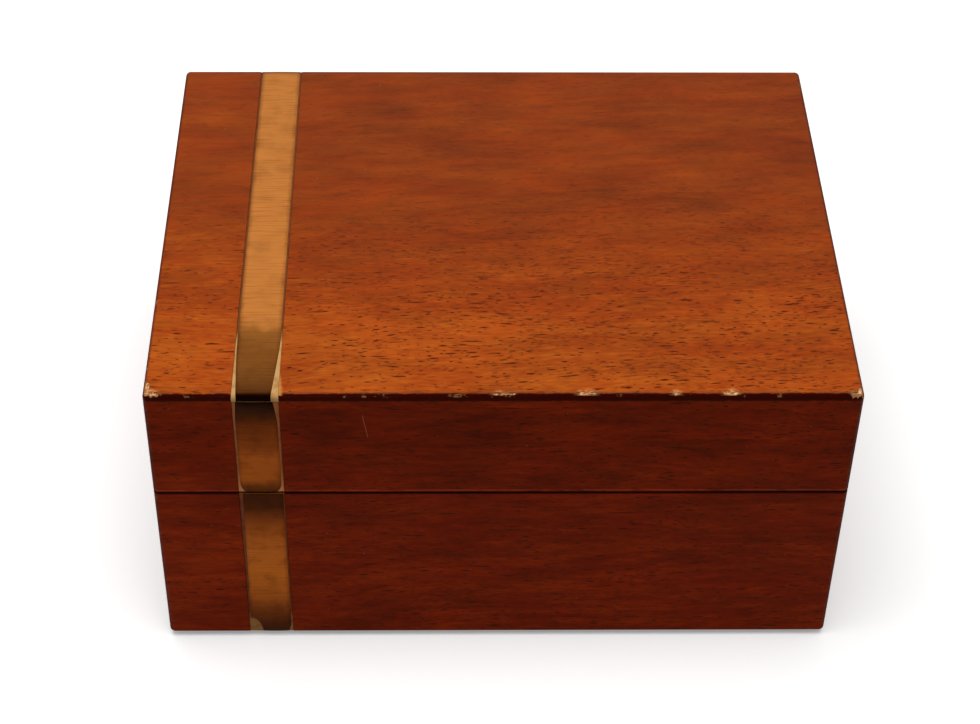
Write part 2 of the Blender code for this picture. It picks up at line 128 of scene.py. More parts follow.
def make_light():
    """A large softbox overhead, one behind that the brass reflects, and a dim room.

    The overhead one is two lights in one place, and one of them is left out of reflections. Seen from right
    above, the whole of it would burn out the brass.
    """
    make_softbox("overhead", *OVERHEAD, watts=2.0)
    make_softbox("overhead_unreflected", *OVERHEAD, watts=4.9, in_reflections=False)
    make_softbox("behind", *BEHIND, watts=1.1, colour=WARM_WHITE)
    world = bpy.data.worlds.new("room")
    world.use_nodes = True
    bpy.context.scene.world = world
    tree = world.node_tree
    room = tree.nodes["Background"]
    room.inputs["Color"].default_value = ROOM_COLOUR
    room.inputs["Strength"].default_value = ROOM_STRENGTH
    paper = tree.nodes.new("ShaderNodeBackground")
    paper.inputs["Strength"].default_value = 1
    show_to_camera(tree, room, paper, tree.nodes["World Output"])


def show_to_camera(tree, unseen, seen, output):
    """Uses one shader for what the camera looks at directly and another for reflections and bounced light."""
    path = tree.nodes.new("ShaderNodeLightPath")
    mix = tree.nodes.new("ShaderNodeMixShader")
    tree.links.new(path.outputs["Is Camera Ray"], mix.inputs[0])
    tree.links.new(unseen.outputs[0], mix.inputs[1])
    tree.links.new(seen.outputs[0], mix.inputs[2])
    tree.links.new(mix.outputs[0], output.inputs["Surface"])


def make_floor():
    """A pale floor, darker to bounced light than to the camera, so that it doesn't wash out the front."""
    bm = bmesh.new()
    bmesh.ops.create_grid(bm, x_segments=1, y_segments=1, size=FLOOR_HALF_SIZE)
    mesh = bpy.data.meshes.new("floor")
    bm.to_mesh(mesh)
    bm.free()
    floor = bpy.data.objects.new("floor", mesh)
    bpy.context.scene.collection.objects.link(floor)
    material = bpy.data.materials.new("pale_floor")
    material.use_nodes = True
    tree = material.node_tree
    pale = tree.nodes["Principled BSDF"]
    pale.inputs["Base Color"].default_value = (0.9, 0.9, 0.9, 1)
    pale.inputs["Roughness"].default_value = 0.9
    pale.inputs["Emission Color"].default_value = (1, 1, 1, 1)
    pale.inputs["Emission Strength"].default_value = 0.25
    dim = tree.nodes.new("ShaderNodeBsdfDiffuse")
    dim.inputs["Color"].default_value = (0.36, 0.35, 0.33, 1)
    show_to_camera(tree, dim, pale, tree.nodes["Material Output"])
    mesh.materials.append(material)


# ---------------------------------------------------------------- materials


class Finish:
    """One procedural material. Its positions are in millimetres in the box's frame."""

    def __init__(self, name):
        self.material = bpy.data.materials.new(name)
        self.material.use_nodes = True
        self.tree = self.material.node_tree
        self.shader = self.tree.nodes["Principled BSDF"]
        place = self.node("ShaderNodeTexCoord").outputs["Object"]
        self.place = self.vector("MULTIPLY", place, (1 / MM,) * 3)
        self.x, self.y, self.z = self.split(self.place)

    def node(self, kind, **settings):
        made = self.tree.nodes.new(kind)
        for key, value in settings.items():
            setattr(made, key, value)
        return made

    def join(self, socket, value):
        """Feeds a socket from another one, or gives it a fixed value."""
        if isinstance(value, bpy.types.NodeSocket):
            self.tree.links.new(value, socket)
        else:
            socket.default_value = value

    def math(self, operation, a, b=0.0):
        made = self.node("ShaderNodeMath", operation=operation)
        self.join(made.inputs[0], a)
        self.join(made.inputs[1], b)
        return made.outputs[0]

    def vector(self, operation, a, b=(0, 0, 0)):
        made = self.node("ShaderNodeVectorMath", operation=operation)
        self.join(made.inputs[0], a)
        self.join(made.inputs[1], b)
        return made.outputs["Value" if operation == "LENGTH" else "Vector"]

    def product(self, first, *others):
        for other in others:
            first = self.math("MULTIPLY", first, other)
        return first

    def split(self, vector):
        parts = self.node("ShaderNodeSeparateXYZ")
        self.join(parts.inputs[0], vector)
        return tuple(parts.outputs)

    def point(self, x, y, z=0.0):
        made = self.node("ShaderNodeCombineXYZ")
        for socket, value in zip(made.inputs, (x, y, z)):
            self.join(socket, value)
        return made.outputs[0]

    def noise(self, place, scale=1.0, detail=2.0, rough=0.5, twist=0.0):
        made = self.node("ShaderNodeTexNoise")
        self.join(made.inputs["Vector"], place)
        made.inputs["Scale"].default_value = scale
        made.inputs["Detail"].default_value = detail
        made.inputs["Roughness"].default_value = rough
        made.inputs["Distortion"].default_value = twist
        return made.outputs["Fac"]

    def step(self, value, low, high, to_low=0.0, to_high=1.0):
        """Goes smoothly from to_low to to_high as value goes from low to high."""
        made = self.node("ShaderNodeMapRange", interpolation_type="SMOOTHSTEP")
        for socket, setting in zip(made.inputs[:5], (value, low, high, to_low, to_high)):
            self.join(socket, setting)
        return made.outputs[0]

    def mix(self, share, a, b, blend="MIX"):
        made = self.node("ShaderNodeMix", data_type="RGBA", blend_type=blend)
        self.join(made.inputs[0], share)
        self.join(made.inputs[6], a if isinstance(a, bpy.types.NodeSocket) else (*a, 1))
        self.join(made.inputs[7], b if isinstance(b, bpy.types.NodeSocket) else (*b, 1))
        return made.outputs[2]

    def tinted(self, colour, tint, share=1.0):
        return self.mix(share, colour, tint, "MULTIPLY")

    def ramp(self, value, stops):
        """A colour that passes through stops, each a (value, colour) pair, lowest first."""
        low, high = stops[0][0], stops[-1][0]
        made = self.node("ShaderNodeValToRGB")
        self.join(made.inputs[0], self.math("DIVIDE", self.math("SUBTRACT", value, low), high - low))
        elements = made.color_ramp.elements
        while len(elements) < len(stops):
            elements.new(0.5)
        for element, (at, colour) in zip(elements, stops):
            element.position = (at - low) / (high - low)
            element.color = (*colour, 1)
        return made.outputs[0]

    def bump(self, height, distance):
        made = self.node("ShaderNodeBump")
        made.inputs["Strength"].default_value = 1.0
        made.inputs["Distance"].default_value = distance
        self.join(made.inputs["Height"], height)
        self.join(self.shader.inputs["Normal"], made.outputs[0])

    def set(self, **sockets):
        """Sets the shader's sockets by name, with _ for a space."""
        for name, value in sockets.items():
            self.join(self.shader.inputs[name.replace("_", " ")], value)
        return self.material


def under_surface(finish):
    """How deep a point lies under the box's rounded form, and how far out it is towards each face, in mm.

    A point is on a rounded arris where two of the three outward values are over 0. Each is 1 on its face.
    """
    centre = tuple(CENTRE / MM)
    core_half = tuple((HALF - Vector((ARRIS,) * 3)) / MM)
    from_centre = finish.vector("ABSOLUTE", finish.vector("SUBTRACT", finish.place, centre))
    outward = finish.vector("SUBTRACT", from_centre, core_half)
    x, y, z = finish.split(outward)
    outside = finish.vector("LENGTH", finish.vector("MAXIMUM", outward, (0, 0, 0)))
    largest = finish.math("MAXIMUM", finish.math("MAXIMUM", x, y), z)
    distance = finish.math("ADD", outside, finish.math("MINIMUM", largest, 0.0))
    return finish.math("SUBTRACT", ARRIS / MM, distance), (x, y, z)


def arris_edges(finish, outward, ragged, front_from):
    """How much each point is part of any arris, and how dark the arrises make it.

    Every arris has a dark line, and the front top one has a broader line from front_from outwards.
    """
    x, y, z = outward
    pairs = [finish.math("MINIMUM", a, b) for a, b in ((x, y), (y, z), (x, z))]
    any_arris = finish.math("MAXIMUM", finish.math("MAXIMUM", pairs[0], pairs[1]), pairs[2])
    line = finish.step(finish.math("ADD", any_arris, ragged), 0.30, 0.52, 0.0, 0.35)
    front_top = finish.step(finish.math("ADD", pairs[1], ragged), front_from, front_from + 0.35)
    on_lid = finish.math("GREATER_THAN", finish.z, SEAM / MM)
    return any_arris, finish.math("MAXIMUM", line, finish.product(front_top, in_front(finish), on_lid))


def in_front(finish):
    """1 on the box's front half and 0 on its back half."""
    return finish.math("LESS_THAN", finish.y, 0.0)


# The least share of its full length and of its full darkness that a pore has
PORE_LEAST = 0.45


def pores(finish, along, across, cell, size, share, seed):
    """Dark dashes along the grain. Each cell of a grid, its rows shifted at random, holds one dash or none.

    cell is its length and width in mm, size a dash's half length and half width in cells.
    """
    across_place = finish.math("ADD", finish.math("DIVIDE", across, cell[1]), seed)
    row = finish.math("FLOOR", across_place)
    row_lot = finish.node("ShaderNodeTexWhiteNoise", noise_dimensions="1D")
    finish.join(row_lot.inputs["W"], row)
    shift = finish.math("MULTIPLY", row_lot.outputs[0], 9.0)
    along_place = finish.math("ADD", finish.math("DIVIDE", along, cell[0]), shift)
    column = finish.math("FLOOR", along_place)
    draw = finish.node("ShaderNodeTexWhiteNoise", noise_dimensions="2D")
    finish.join(draw.inputs["Vector"], finish.point(column, row))
    lots = finish.node("ShaderNodeSeparateColor")
    finish.join(lots.inputs[0], draw.outputs["Color"])
    first_lot, second_lot, third_lot = lots.outputs
    offsets = []
    for place, lot, half in ((along_place, first_lot, size[0]), (across_place, second_lot, size[1])):
        inside = finish.math("SUBTRACT", finish.math("FRACT", place), 0.5)
        jitter = finish.math("MULTIPLY", finish.math("SUBTRACT", lot, 0.5), 1.0 - 2.0 * half)
        offsets.append(finish.math("DIVIDE", finish.math("SUBTRACT", inside, jitter), half))
    offsets[0] = finish.math("DIVIDE", offsets[0], finish.step(second_lot, 0.0, 1.0, PORE_LEAST, 1.0))
    distance = finish.vector("LENGTH", finish.point(*offsets))
    chosen = finish.math("LESS_THAN", third_lot, share)
    darkness = finish.step(first_lot, 0.0, 1.0, PORE_LEAST, 1.0)
    return finish.product(finish.step(distance, 1.0, 0.4), chosen, darkness)


def spot(finish, u, v, centre, reach):
    """1 at an ellipse's middle, fading to 0 at its rim. reach is its half length and half width in mm."""
    du = finish.math("DIVIDE", finish.math("SUBTRACT", u, centre[0]), reach[0])
    dv = finish.math("DIVIDE", finish.math("SUBTRACT", v, centre[1]), reach[1])
    return finish.step(finish.vector("LENGTH", finish.point(du, dv)), 1.0, 0.0)


# Knocks along the lid's top edges: the two ends (x, y) of each, how far it bites onto the top and down the
# side, and its number of flakes. All lengths are in mm.
FRONT_Y, LEFT_X, RIGHT_X = FRONT / MM, LEFT / MM, RIGHT / MM
CHIPS = (
    ((-2.4, FRONT_Y), (1.6, FRONT_Y), 0.25, 0.10, 4),
    ((13.0, FRONT_Y), (16.8, FRONT_Y), 0.70, 0.10, 4),
    ((30.2, FRONT_Y), (31.8, FRONT_Y), 0.42, 0.14, 2),
    ((39.6, FRONT_Y), (42.2, FRONT_Y), 0.95, 0.22, 4),
    ((LEFT_X + 0.2, FRONT_Y), (-62.2, FRONT_Y), 0.80, 0.36, 3),
    ((LEFT_X, FRONT_Y + 0.4), (LEFT_X, FRONT_Y + 3.6), 0.85, 0.35, 4),
    ((62.6, FRONT_Y), (RIGHT_X - 0.2, FRONT_Y), 0.35, 1.30, 6),
    ((RIGHT_X, FRONT_Y + 0.2), (RIGHT_X, FRONT_Y + 1.8), 0.60, 0.30, 4),
)

# Veneer colours at the dark, middle and bright ends of its figure
TOP_TONES = (
    (0.26, (0.135, 0.0205, 0.0022)),
    (0.50, (0.282, 0.0430, 0.0030)),
    (0.74, (0.460, 0.0940, 0.0070)),
)
# The walls' tones are darker and redder than the top's: partly the wall veneer's own colour, partly painted
# shade for walls the overhead light falls on less.
SIDE_SHADED_TONES = (
    (0.26, (0.095, 0.0066, 0.0003)),
    (0.50, (0.190, 0.0136, 0.0004)),
    (0.74, (0.312, 0.0280, 0.0010)),
)
REDDER = (1.02, 0.95, 0.93)
GOLDER = (0.985, 1.05, 1.06)
PORE_COLOUR = (0.036, 0.005, 0.001)
# The dark of the arrises, also painted as shade along the seam, on the rims either side of its gap.
EDGE_COLOUR = (0.030, 0.0014, 0.0004)
INSIDE_STAIN = (0.50, 0.50, 0.70)
WORN_COLOUR = (0.42, 0.20, 0.085)
BARE_COLOUR = (0.52, 0.205, 0.050)
SCUFF_COLOUR = (0.66, 0.30, 0.105)
POLISH_COLOUR = (0.17, 0.050, 0.022)
# A painted highlight along the lid's lower edge, added to the veneer's colour.
SEAM_HIGHLIGHT = (0.11, 0.026, 0.008)
CORE_TONES = ((0.34, (0.22, 0.060, 0.014)), (0.48, (0.46, 0.20, 0.070)), (0.64, (0.78, 0.54, 0.31)))
LACQUER_LEVEL = 0.14
LACQUER_TINT = (1.0, 0.20, 0.04, 1)

# In mm: the veneer's thickness, and the depths between which the outer colours give way to the inside stain
VENEER = 0.3
INSIDE = (0.9, 1.3)
# The scratch on the lid's front: its lower end (x, z), its length upwards and its lean, in mm
SCRATCH = ((-24.8, 56.2), 4.2, 0.16)

# How far the grain drifts across a board per mm along it
TOP_LEAN = 0.045
SIDE_LEAN = 0.006
# The figure's layers: the length and width of its streaks in mm, and its noise's detail and roughness. The
# last two are fine grain and fibres, which only show where a board is crisp.
FIGURE_LAYERS = (
    (20.0, 8.0, 3.0, 0.55),
    (34.0, 3.8, 2.0, 0.50),
    (9.0, 1.6, 2.0, 0.50),
    (2.4, 0.60, 2.0, 0.50),
    (5.0, 0.30, 2.0, 0.50),
)
FINE_LAYERS = 2
# Four sizes of pore and the small pale specks: cell, size, share and seed, as pores takes them
PORE_LAYERS = (
    ((1.9, 0.44), (0.34, 0.29), 0.34, 3.0),
    ((2.8, 0.58), (0.36, 0.27), 0.36, 101.0),
    ((4.0, 0.95), (0.34, 0.23), 0.34, 211.0),
    ((11.0, 1.40), (0.25, 0.16), 0.26, 907.0),
)
SPECKS = ((5.0, 3.0), (0.045, 0.05), 0.05, 55.0)


class Grain:
    """Where a point lies in the grain: u along it, v straight across it, and w across it as it wanders."""

    def __init__(self, finish, along, across):
        (inward,) = {"x", "y", "z"} - {along, across}
        self.finish = finish
        self.u, self.v, self.inward = (getattr(finish, axis) for axis in (along, across, inward))
        self.on_top = across == "y"
        slow = finish.point(finish.math("DIVIDE", self.u, 40.0), finish.math("DIVIDE", self.v, 14.0))
        wander = finish.math("MULTIPLY", finish.noise(slow, detail=1.0), 5.0)
        lean = finish.math("MULTIPLY", self.u, TOP_LEAN if self.on_top else SIDE_LEAN)
        w = finish.math("ADD", finish.math("SUBTRACT", self.v, lean), wander)
        self.w = finish.math("ADD", w, finish.math("MULTIPLY", self.inward, 0.9))
        ripple = finish.noise(finish.place, scale=1.4, detail=1.0)
        self.w_rough = finish.math("ADD", self.w, finish.math("MULTIPLY", ripple, 0.22))

    def streaks(self, length, width, detail=2.0, rough=0.5):
        """Noise drawn out along the grain."""
        sizes = ((self.u, length), (self.w, width), (self.inward, width))
        place = [self.finish.math("DIVIDE", value, size) for value, size in sizes]
        return self.finish.noise(self.finish.point(*place), detail=detail, rough=rough)


def figure_tone(grain, layers, figure, trend, crisp, marks):
    """How light the figure is at each point, as a place on the veneer's ramp of tones."""
    finish = grain.finish
    # Partly the figure and partly painted light and shade: lighter or darker across the board, and a little
    # lighter towards the left end.
    tone = finish.step(getattr(finish, trend[0]), *trend[1:])
    tone = finish.math("ADD", tone, finish.step(finish.x, -65.0, -25.0, 0.045, 0.0))
    for number, (layer, weight) in enumerate(zip(layers, figure)):
        if number >= len(layers) - FINE_LAYERS:
            weight = finish.math("MULTIPLY", crisp, weight)
        tone = finish.math("ADD", tone, finish.product(finish.math("SUBTRACT", layer, 0.5), weight))
    for centre, reach, strength in marks:
        stain = finish.product(spot(finish, grain.u, grain.v, centre, reach), strength)
        tone = finish.math("SUBTRACT", tone, stain)
    return tone


def pore_dashes(grain):
    """Pores of all sizes, crowded in some places, and fewer towards the left."""
    finish = grain.finish
    crowd = finish.step(grain.streaks(24.0, 10.0, detail=1.0), 0.36, 0.60, 0.35, 1.0)
    crowd = finish.product(crowd, finish.step(finish.x, -50.0, -10.0, 0.6, 1.0))
    dashes = 0.0
    for cell, size, share, seed in PORE_LAYERS:
        layer = pores(finish, grain.u, grain.w_rough, cell, size, finish.product(crowd, share), seed)
        dashes = finish.math("MAXIMUM", dashes, layer)
    return dashes


def mahogany(name, along, across, tones, figure, trend, crispness, edge_from, marks=()):
    """Lacquered mahogany veneer over a pale core, with its grain along one axis.

    figure weighs FIGURE_LAYERS. trend and crispness are (axis, low, high, value at low, value at high): how
    light the veneer is across the board, partly its figure and partly painted light and shade, and how strong
    its pores and fibres are. edge_from is where the dark front top edge starts. marks are dark stains.
    """
    finish = Finish(name)
    grain = Grain(finish, along, across)
    depth, outward = under_surface(finish)
    inside = finish.step(depth, *INSIDE)
    crisp = finish.step(getattr(finish, crispness[0]), *crispness[1:])
    layers = [grain.streaks(*layer) for layer in FIGURE_LAYERS]
    fibre = layers[-1]
    colour = finish.ramp(figure_tone(grain, layers, figure, trend, crisp, marks), tones)
    golden = finish.step(grain.streaks(16.0, 5.0), 0.38, 0.62)
    colour = finish.mix(golden, finish.tinted(colour, REDDER), finish.tinted(colour, GOLDER))

    dashes = finish.product(pore_dashes(grain), crisp, finish.math("SUBTRACT", 1.0, inside))
    colour = finish.mix(dashes, colour, PORE_COLOUR)
    specks = pores(finish, grain.u, grain.w, *SPECKS)
    colour = finish.mix(finish.product(specks, 0.5), colour, WORN_COLOUR)

    colour = worn_edges(finish, colour, outward, edge_from)
    colour = seam_lines(finish, colour)
    if grain.on_top:
        colour = finish.mix(scuffs(finish), colour, SCUFF_COLOUR)
        colour = finish.mix(polished_line(finish, outward[1]), colour, POLISH_COLOUR)
        colour = finish.mix(worn_wedge(finish), colour, BARE_COLOUR)
    elif along == "x":
        colour = finish.mix(scratch(finish), colour, SCUFF_COLOUR)
    colour = finish.mix(inside, colour, finish.tinted(colour, INSIDE_STAIN))
    core = finish.ramp(finish.noise(finish.place, scale=1.5, detail=4.0, rough=0.6), CORE_TONES)
    chipped = finish.product(finish.step(depth, 0.03, VENEER), in_chips(finish))
    colour = finish.mix(chipped, colour, core)

    smear = finish.noise(finish.place, scale=0.12, detail=3.0)
    rough = finish.math("ADD", finish.step(smear, 0.3, 0.7, 0.30, 0.36), finish.product(chipped, 0.4))
    height = finish.math("SUBTRACT", finish.product(fibre, 0.25), finish.product(dashes, 0.6))
    finish.bump(height, 0.03 * MM)
    finish.shader.inputs["Specular IOR Level"].default_value = LACQUER_LEVEL
    finish.shader.inputs["Specular Tint"].default_value = LACQUER_TINT
    return finish.set(Base_Color=colour, Roughness=rough)


def worn_edges(finish, colour, outward, edge_from):
    """Darkens the arrises, and rubs them through in places."""
    ragged = finish.noise(finish.place, scale=0.7, detail=3.0)
    ragged = finish.product(finish.math("SUBTRACT", ragged, 0.5), 0.6)
    arris, dark = arris_edges(finish, outward, ragged, edge_from)
    colour = finish.mix(dark, colour, EDGE_COLOUR)
    rubbed = finish.step(finish.noise(finish.place, scale=0.55, detail=5.0, rough=0.65), 0.60, 0.66)
    rubbed = finish.product(rubbed, finish.step(arris, 0.30, 0.55), 0.4)
    return finish.mix(rubbed, colour, WORN_COLOUR)


def band_of(finish, value, low, high, soft):
    """1 while value is between low and high, fading out over soft."""
    return finish.product(finish.step(value, low - soft, low), finish.step(value, high + soft, high))


def seam_lines(finish, colour):
    """Painted shade along the seam, darkening the rims on either side of its gap, and above it a thin lighter
    line along the lid's edge, a painted highlight, broken in places.
    """
    above = finish.math("SUBTRACT", finish.z, SEAM / MM)
    breaks = finish.step(finish.noise(finish.place, scale=0.3), 0.35, 0.55, 0.2, 1.0)
    # A painted highlight along the lid's lower edge.
    highlight_line = finish.product(band_of(finish, above, 0.55, 0.75, 0.15), breaks)
    colour = finish.mix(highlight_line, colour, finish.mix(1.0, colour, SEAM_HIGHLIGHT, "ADD"))
    # Painted shade on the rims either side of the seam's gap.
    dark = finish.product(band_of(finish, above, -0.40, 0.25, 0.12), 0.85)
    return finish.mix(dark, colour, EDGE_COLOUR)


def polished_line(finish, outward_y):
    """The rubbed line where the lid's top meets its front arris."""
    breaks = finish.step(finish.noise(finish.place, scale=0.22, detail=3.0), 0.36, 0.56, 0.1, 0.8)
    return finish.product(band_of(finish, outward_y, 0.05, 0.22, 0.14), breaks, in_front(finish))


def scratch(finish):
    """A short thin scratch on the lid's front, leaning a little."""
    (x, z), length, lean = SCRATCH
    above = finish.math("SUBTRACT", finish.z, z)
    aside = finish.math("ADD", finish.math("SUBTRACT", finish.x, x), finish.product(above, lean))
    across = band_of(finish, aside, -0.03, 0.03, 0.09)
    return finish.product(across, band_of(finish, above, 0.0, length, 1.2), 0.24, in_front(finish))


def scuffs(finish):
    """Streaky bruises around the knocks on the top veneer."""
    total = 0.0
    for start, end, onto_top, _, _ in CHIPS:
        centre = ((start[0] + end[0]) / 2, (start[1] + end[1]) / 2 + 0.7)
        reach = (abs(end[0] - start[0]) / 2 + 0.8, abs(end[1] - start[1]) / 2 + onto_top + 0.8)
        total = finish.math("MAXIMUM", total, spot(finish, finish.x, finish.y, centre, reach))
    streaks = finish.noise(finish.vector("MULTIPLY", finish.place, (0.9, 2.4, 2.4)), detail=4.0, rough=0.65)
    return finish.product(total, finish.step(streaks, 0.42, 0.56))


def worn_wedge(finish):
    """The rubbed wedge of wood beside the band at the front edge, narrowing away from the edge."""
    right_of_band = finish.math("SUBTRACT", finish.x, BAND_RIGHT / MM)
    from_front = finish.math("SUBTRACT", finish.y, FRONT / MM)
    ragged = finish.product(finish.noise(finish.place, scale=1.2), 0.4)
    reach = finish.math("ADD", finish.step(from_front, 0.0, 9.0, 1.05, 0.1), ragged)
    inside = finish.math("SUBTRACT", reach, finish.math("ABSOLUTE", right_of_band))
    return finish.product(finish.step(inside, 0.0, 0.7), finish.step(from_front, 9.0, 6.0), 0.9)


def in_chips(finish):
    """1 within a few mm of the lid's front top edge, where knocks show the core, and 0 elsewhere."""
    near_front = finish.step(finish.y, FRONT / MM + 5.0, FRONT / MM + 4.0)
    near_top = finish.step(finish.z, TOP / MM - 4.0, TOP / MM - 3.0)
    return finish.product(near_front, near_top)


BLOTCH_TINT = (0.20, 0.055, 0.012)
SCRATCH_TINT = (0.45, 0.32, 0.20)
TARNISH_TINT = (0.50, 0.34, 0.22)


def brass(name, tones, axis, blotches):
    """Brass under a brown patina and painted reflection: tones gives both along one axis. Scratches run across
    it.
    """
    finish = Finish(name)
    where = getattr(finish, axis)
    waver = finish.noise(finish.place, scale=0.30, detail=3.0)
    swing = 2.0
    if axis == "y":
        from_ends = finish.math("SUBTRACT", BACK / MM, finish.math("ABSOLUTE", where))
        swing = finish.step(from_ends, 1.0, 9.0, 0.0, 7.0)
    waver = finish.product(finish.math("SUBTRACT", waver, 0.5), swing)
    # The colour along the strip is patina and painted reflection together.
    base = finish.ramp(finish.math("ADD", where, waver), tones)
    line_place = finish.point(finish.math("DIVIDE", finish.x, 11.0), finish.math("DIVIDE", where, 0.30))
    lines = finish.noise(line_place, detail=3.0, rough=0.65)
    cloud = finish.noise(finish.place, scale=0.28, detail=4.0)
    base = finish.tinted(base, BLOTCH_TINT, finish.step(cloud, 0.45, 0.72, 0.0, blotches))
    base = finish.tinted(base, SCRATCH_TINT, finish.step(lines, 0.45, 0.72, 0.0, 0.42))
    aside = finish.math("ABSOLUTE", finish.math("SUBTRACT", finish.x, BAND_MIDDLE / MM))
    ragged_aside = finish.math("ADD", aside, finish.product(cloud, 0.8))
    base = finish.tinted(base, TARNISH_TINT, finish.step(ragged_aside, 3.4, 4.5, 0.0, 0.55))
    if axis == "z":
        facing_up = finish.split(finish.node("ShaderNodeTexCoord").outputs["Normal"])[2]
        end_face = finish.step(finish.math("ABSOLUTE", facing_up), 0.80, 0.95)
        base = finish.mix(end_face, base, BROWN)
    rough = finish.step(cloud, 0.3, 0.7, 0.28, 0.38)
    rough = finish.math("ADD", rough, finish.step(lines, 0.4, 0.7, 0.0, 0.06))
    finish.bump(lines, 0.010 * MM)
    return finish.set(Base_Color=base, Roughness=rough, Metallic=1.0)


def hardware_brass(name):
    """Bright drawn brass with a little tarnish, for the hinges, screws and lock tongue."""
    finish = Finish(name)
    cloud = finish.noise(finish.place, scale=0.55, detail=4.0)
    lines = finish.noise(finish.vector("MULTIPLY", finish.place, (0.25, 6.0, 6.0)), detail=3.0)
    base = finish.mix(finish.step(cloud, 0.40, 0.75), (0.80, 0.52, 0.20), (0.42, 0.22, 0.07))
    base = finish.tinted(base, (0.55, 0.45, 0.35), finish.step(lines, 0.50, 0.70, 0.0, 0.35))
    finish.bump(lines, 0.008 * MM)
    return finish.set(Base_Color=base, Roughness=finish.step(cloud, 0.3, 0.7, 0.22, 0.38), Metallic=1.0)


def bedding(name, tones, axis):
    """The wooden bed under a strip, its colour given along one axis."""
    finish = Finish(name)
    grain = finish.noise(finish.place, scale=0.5, detail=4.0)
    colour = finish.ramp(getattr(finish, axis), tones)
    colour = finish.tinted(colour, (0.62, 0.45, 0.30), finish.step(grain, 0.45, 0.70, 0.0, 0.6))
    rough = finish.step(grain, 0.3, 0.7, 0.5, 0.65)
    finish.bump(grain, 0.02 * MM)
    return finish.set(Base_Color=colour, Roughness=rough, Specular_IOR_Level=0.2)


def pale_wood(name):
    """Bare pale hardwood with a fine straight grain."""
    finish = Finish(name)
    grain = finish.noise(finish.vector("MULTIPLY", finish.place, (0.12, 1.6, 1.6)), detail=4.0)
    colour = finish.mix(finish.step(grain, 0.35, 0.7), (0.50, 0.34, 0.17), (0.74, 0.57, 0.34))
    finish.bump(grain, 0.02 * MM)
    return finish.set(Base_Color=colour, Roughness=finish.step(grain, 0.3, 0.7, 0.45, 0.6))


def plywood(name):
    """Bare plywood, its plies stacked along Z."""
    finish = Finish(name)
    plies = finish.step(finish.math("SINE", finish.math("MULTIPLY", finish.z, 5.2)), -0.4, 0.4)
    grain = finish.noise(finish.vector("MULTIPLY", finish.place, (0.05, 0.9, 0.9)), detail=4.0)
    colour = finish.mix(finish.step(grain, 0.3, 0.7), (0.42, 0.26, 0.13), (0.60, 0.42, 0.24))
    colour = finish.mix(finish.product(plies, 0.25), colour, (0.28, 0.15, 0.07))
    finish.bump(grain, 0.04 * MM)
    return finish.set(Base_Color=colour, Roughness=finish.step(grain, 0.3, 0.7, 0.6, 0.75))


def steel(name):
    """Ground steel with turning marks round its length."""
    finish = Finish(name)
    marks = finish.noise(finish.point(finish.math("DIVIDE", finish.x, 0.12), 0.0))
    stain = finish.noise(finish.place, scale=0.5, detail=3.0)
    colour = finish.mix(finish.step(stain, 0.45, 0.8), (0.58, 0.58, 0.60), (0.36, 0.33, 0.30))
    finish.bump(marks, 0.01 * MM)
    return finish.set(Base_Color=colour, Roughness=finish.step(stain, 0.3, 0.7, 0.25, 0.42), Metallic=1.0)


VELVET_DARK = (0.006, 0.022, 0.013)
VELVET_LIGHT = (0.020, 0.062, 0.036)
SHEEN_TINT = (0.25, 0.55, 0.40, 1)


def velvet(name, nap=0.35):
    """Short-pile cloth: brushed patches, a fine pile as deep as nap in mm, and sheen."""
    finish = Finish(name)
    patches = finish.noise(finish.place, scale=0.09, detail=3.0, twist=0.6)
    pile = finish.noise(finish.place, scale=3.2)
    tone = finish.math("ADD", finish.product(patches, 0.6), finish.product(pile, 0.4))
    colour = finish.mix(finish.step(tone, 0.32, 0.68), VELVET_DARK, VELVET_LIGHT)
    finish.bump(pile, nap * MM)
    finish.shader.inputs["Sheen Weight"].default_value = 0.5
    finish.shader.inputs["Sheen Roughness"].default_value = 0.4
    finish.shader.inputs["Sheen Tint"].default_value = SHEEN_TINT
    rough = finish.step(pile, 0.3, 0.7, 0.8, 0.95)
    return finish.set(Base_Color=colour, Roughness=rough, Specular_IOR_Level=0.2)


# ---------------------------------------------------------------- making pieces


def new_piece(name, bm, material, body, nodes=()):
    """Makes a mesh into a piece that rides on a body and stands for CAD nodes."""
    mesh = bpy.data.meshes.new(name)
    bm.to_mesh(mesh)
    bm.free()
    piece = bpy.data.objects.new(name, mesh)
    bpy.context.scene.collection.objects.link(piece)
    mesh.materials.append(material)
    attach(piece, body)
    if nodes:
        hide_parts(*nodes)
    return piece


def body_of(node):
    return next(b for b, members in frame["record"]["behaviour"]["bodies"].items() if node in members)


def slot_of(node):
    return next(s["material_slot"] for s in frame["record"]["subparts"] if s["node"] == node)


def mesh_of(node):
    """A welded copy of a CAD node's mesh, with its flat faces whole."""
    bm = bmesh.new()
    bm.from_mesh(NODES[node].data)
    bmesh.ops.remove_doubles(bm, verts=bm.verts[:], dist=0.001 * MM)
    bmesh.ops.dissolve_limit(bm, angle_limit=math.radians(0.5), verts=bm.verts[:], edges=bm.edges[:])
    return bm


SHARP_EDGE = math.radians(30)
SHARP_SHADING = math.radians(40)


def round_edges(bm, width, segments=2, chosen=None):
    """Rounds the sharp edges, or the chosen ones of them."""
    edges = [e for e in bm.edges if len(e.link_faces) == 2 and e.calc_face_angle(0) > SHARP_EDGE]
    if chosen:
        edges = [e for e in edges if chosen(e)]
    bmesh.ops.bevel(
        bm,
        geom=edges,
        offset=width,
        segments=segments,
        profile=0.5,
        affect="EDGES",
        clamp_overlap=True,
    )


def shade(piece):
    """Smooth shading that keeps flat faces flat."""
    piece.data.shade_smooth()
    piece.data.set_sharp_from_angle(angle=SHARP_SHADING)
    weighted = piece.modifiers.new("flat_faces_first", "WEIGHTED_NORMAL")
    weighted.keep_sharp = True
    weighted.weight = 100


